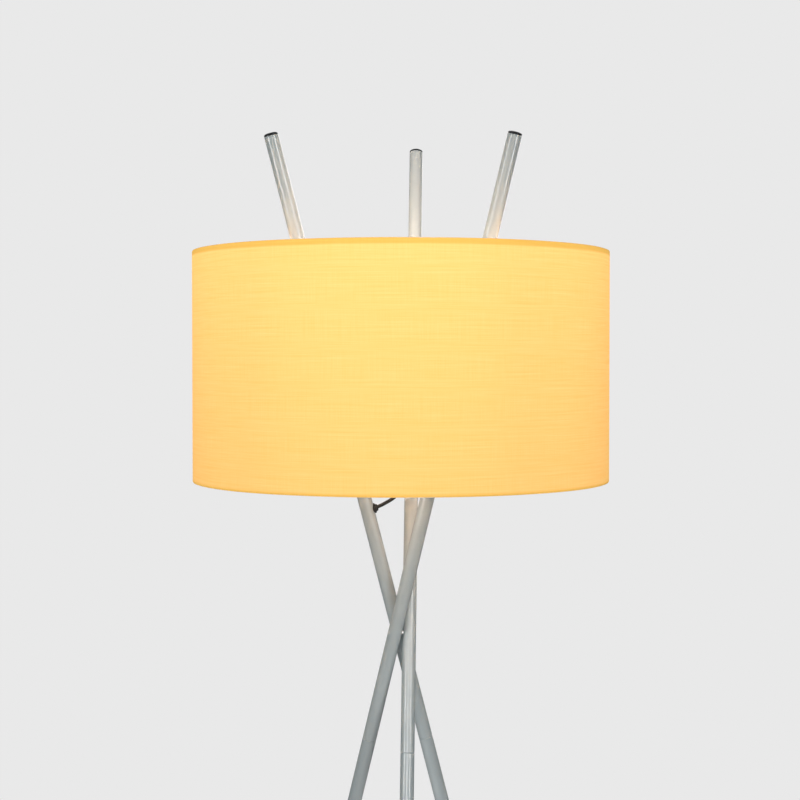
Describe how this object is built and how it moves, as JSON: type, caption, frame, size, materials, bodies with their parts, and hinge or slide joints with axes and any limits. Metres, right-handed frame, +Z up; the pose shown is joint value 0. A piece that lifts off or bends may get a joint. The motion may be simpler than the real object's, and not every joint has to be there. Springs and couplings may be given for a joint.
{
  "type": "tripod floor lamp",
  "caption": "Floor lamp on crossing slanted tube legs that stand out above a wide drum fabric shade, with a mains lead, an inline foot switch and a plug.",
  "frame": {"origin": "on the floor, under the middle of the whole lamp without its mains lead; the lamp's own axis stands at x 4.63 mm, y 32.66 mm", "axes": "+Z up along the lamp's axis; -Y points to the leg whose foot is in front; +X to the right seen from that side"},
  "size_m": [0.5088, 0.5174, 1.5471],
  "materials": {
    "powder_coat": "satin powder coat",
    "black_coat": "satin",
    "white_coat": "semi-gloss",
    "bright_steel": "zinc plated",
    "spring_steel": "bare",
    "brass": "plain",
    "black_plastic": "moulded",
    "button_plastic": "matt",
    "foot_rubber": "matt",
    "boot_rubber": "matt",
    "flex_sheath": "satin PVC",
    "core_ceramic": "glazed",
    "shade_fabric": "plain slub weave",
    "shade_liner": "matt",
    "bulb_globe": "opal",
    "bulb_housing": "moulded",
    "bulb_cap": "rolled thread"
  },
  "bodies": {
    "stand": {"upper_tube_front": "powder_coat", "upper_tube_right": "powder_coat", "upper_tube_left": "powder_coat", "middle_tube_front": "powder_coat", "middle_tube_right": "powder_coat", "middle_tube_left": "powder_coat", "lower_tube_front": "powder_coat", "lower_tube_right": "powder_coat", "lower_tube_left": "powder_coat", "section_bushes": "bright_steel", "section_nipples": "bright_steel", "crossing_spacers": "bright_steel", "top_plugs": "black_plastic", "foot_front": "foot_rubber", "foot_right": "foot_rubber", "foot_left": "foot_rubber", "head_bracket": "black_coat", "bracket_screws": "bright_steel", "holder_nipple": "brass", "lock_nuts": "brass", "holder_cap": "black_plastic", "holder_shell": "black_plastic", "holder_core": "core_ceramic", "screw_shell": "brass", "centre_contact": "brass", "terminal_screws": "brass", "shade_fitter": "white_coat", "top_ring": "white_coat", "shade_liner": "shade_liner", "shade_fabric": "shade_fabric", "top_hem": "shade_fabric", "bottom_hem": "shade_fabric", "flex_grommet": "boot_rubber", "holder_flex": "flex_sheath", "leg_flex": "flex_sheath", "exit_boot": "boot_rubber", "flex_to_switch": "flex_sheath", "flex_to_coil": "flex_sheath", "cord_coil": "flex_sheath", "cord_tie": "boot_rubber", "flex_to_plug": "flex_sheath", "switch_base": "black_plastic", "switch_cover": "black_plastic", "switch_spring": "spring_steel", "switch_contacts": "brass", "switch_screws": "bright_steel", "switch_boots": "boot_rubber", "plug_body": "black_plastic", "plug_pins": "bright_steel", "plug_boot": "boot_rubber"},
    "button": {"switch_button": "button_plastic"},
    "bulb": {"bulb_globe": "bulb_globe", "bulb_housing": "bulb_housing", "bulb_cap": "bulb_cap", "bulb_insulator": "black_plastic", "bulb_contact": "brass"},
    "shade_ring": {"shade_ring": "black_plastic"}
  },
  "joints": [
    {"name": "switch_press", "type": "slide", "parent": "stand", "child": "button", "axis": [0, 0, -1], "range_m": [0, 0.0025], "stiffness_N_per_m": 800, "springref_m": -0.002, "deforming": ["switch_spring"]},
    {"name": "bulb_unscrew", "type": "hinge", "parent": "stand", "child": "bulb", "pos_m": [0.00464, 0.03266, 1.22334], "axis": [0, 0, 1], "range_deg": [0, 1080]},
    {"name": "shade_ring_unscrew", "type": "hinge", "parent": "stand", "child": "shade_ring", "pos_m": [0.00464, 0.03266, 1.21334], "axis": [0, 0, 1], "range_deg": [0, 1080]}
  ]
}
